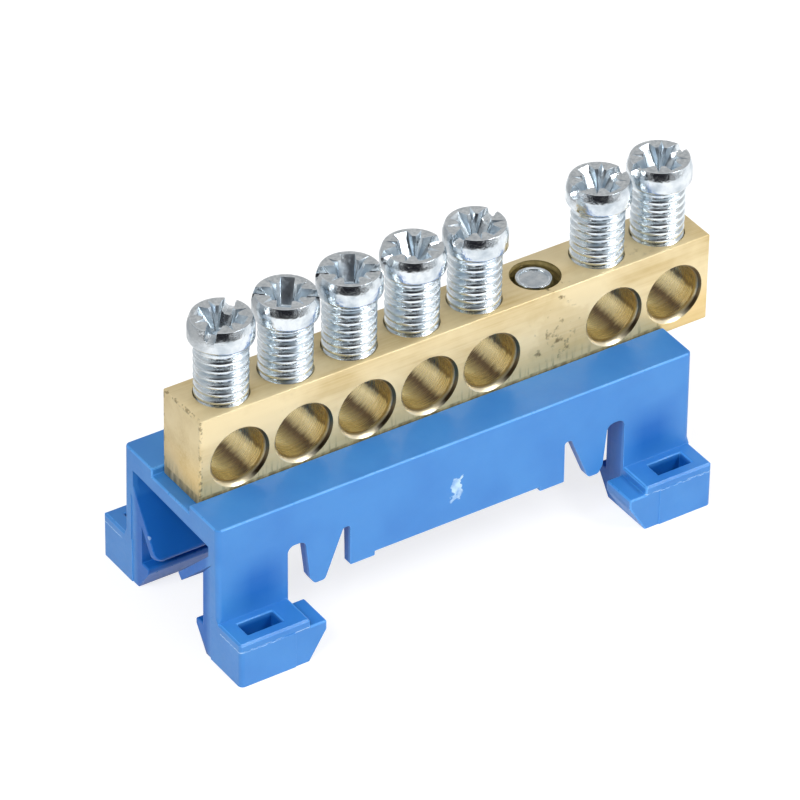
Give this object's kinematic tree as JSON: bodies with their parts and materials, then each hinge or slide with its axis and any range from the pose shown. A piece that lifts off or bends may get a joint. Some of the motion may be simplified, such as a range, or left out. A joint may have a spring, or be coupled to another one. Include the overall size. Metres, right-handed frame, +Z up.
{
  "type": "neutral terminal bar",
  "caption": "Drilled brass bar with clamping screws above its wire bores, held on a moulded blue holder that snaps onto a mounting rail.",
  "frame": {"origin": "on the floor under the feet, at the middle of the overall length and width", "axes": "+X along the bar, towards the end that overhangs the holder, +Y across it towards the rear, +Z up"},
  "size_m": [0.0544, 0.0228, 0.0305],
  "materials": {
    "blue_plastic": "satin",
    "brass": "brushed",
    "plated_steel": "polished"
  },
  "bodies": {
    "holder": {"rail_holder": "blue_plastic", "brass_bar": "brass", "fixing_screw": "plated_steel"},
    "terminal_screw_1": {"terminal_screw_1": "plated_steel"},
    "terminal_screw_2": {"terminal_screw_2": "plated_steel"},
    "terminal_screw_3": {"terminal_screw_3": "plated_steel"},
    "terminal_screw_4": {"terminal_screw_4": "plated_steel"},
    "terminal_screw_5": {"terminal_screw_5": "plated_steel"},
    "terminal_screw_6": {"terminal_screw_6": "plated_steel"},
    "terminal_screw_7": {"terminal_screw_7": "plated_steel"}
  },
  "joints": [
    {"name": "screw_1_travel", "type": "slide", "parent": "holder", "child": "terminal_screw_1", "axis": [0, 0, -1], "range_m": [0, 0.0045]},
    {"name": "screw_2_travel", "type": "slide", "parent": "holder", "child": "terminal_screw_2", "axis": [0, 0, -1], "range_m": [0, 0.0045]},
    {"name": "screw_3_travel", "type": "slide", "parent": "holder", "child": "terminal_screw_3", "axis": [0, 0, -1], "range_m": [0, 0.0045]},
    {"name": "screw_4_travel", "type": "slide", "parent": "holder", "child": "terminal_screw_4", "axis": [0, 0, -1], "range_m": [0, 0.0045]},
    {"name": "screw_5_travel", "type": "slide", "parent": "holder", "child": "terminal_screw_5", "axis": [0, 0, -1], "range_m": [0, 0.0045]},
    {"name": "screw_6_travel", "type": "slide", "parent": "holder", "child": "terminal_screw_6", "axis": [0, 0, -1], "range_m": [0, 0.0045]},
    {"name": "screw_7_travel", "type": "slide", "parent": "holder", "child": "terminal_screw_7", "axis": [0, 0, -1], "range_m": [0, 0.0045]}
  ]
}
